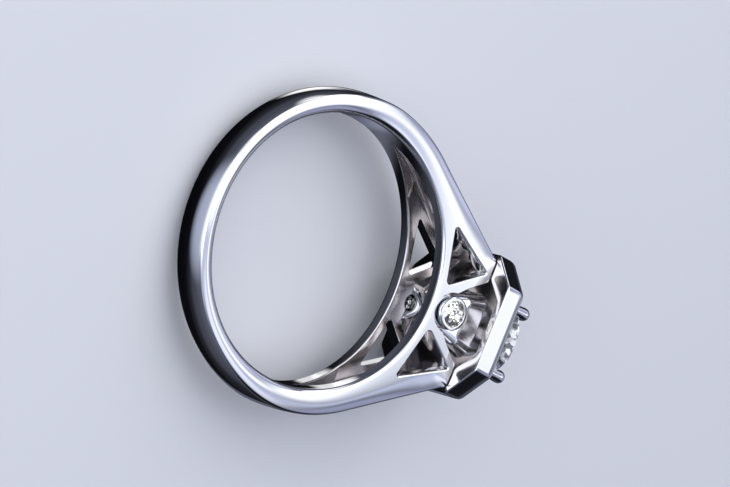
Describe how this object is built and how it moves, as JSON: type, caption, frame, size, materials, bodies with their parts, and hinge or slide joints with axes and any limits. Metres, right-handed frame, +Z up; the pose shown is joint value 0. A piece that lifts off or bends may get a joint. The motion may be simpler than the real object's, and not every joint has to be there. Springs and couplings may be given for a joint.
{
  "type": "diamond engagement ring",
  "caption": "Polished white-metal finger ring with pierced, hollowed shoulders, an octagonal head holding a round brilliant, and small bezel-set side stones.",
  "frame": {"origin": "Centre of the finger hole, at the middle of the hoop's width.", "axes": "+Z is up as the ring lies on its side. +X runs from the finger hole to the head and +Y across the hoop. The head is raised by the tilt at which the frame and the back of the hoop both touch the table, so the finger hole's axis leans towards -X by that tilt."},
  "size_m": [0.026, 0.0196, 0.0093],
  "materials": {
    "band_metal": "mirror-polished rhodium-plated white gold",
    "setting_metal": "mirror-polished rhodium-plated white gold",
    "centre_diamond": "polished colourless diamond",
    "side_diamond": "polished near-colourless diamond"
  },
  "bodies": {
    "root": {"band": "band_metal", "setting": "setting_metal", "centre_stone": "centre_diamond", "side_stone_upper": "side_diamond", "side_stone_lower": "side_diamond"}
  },
  "joints": []
}
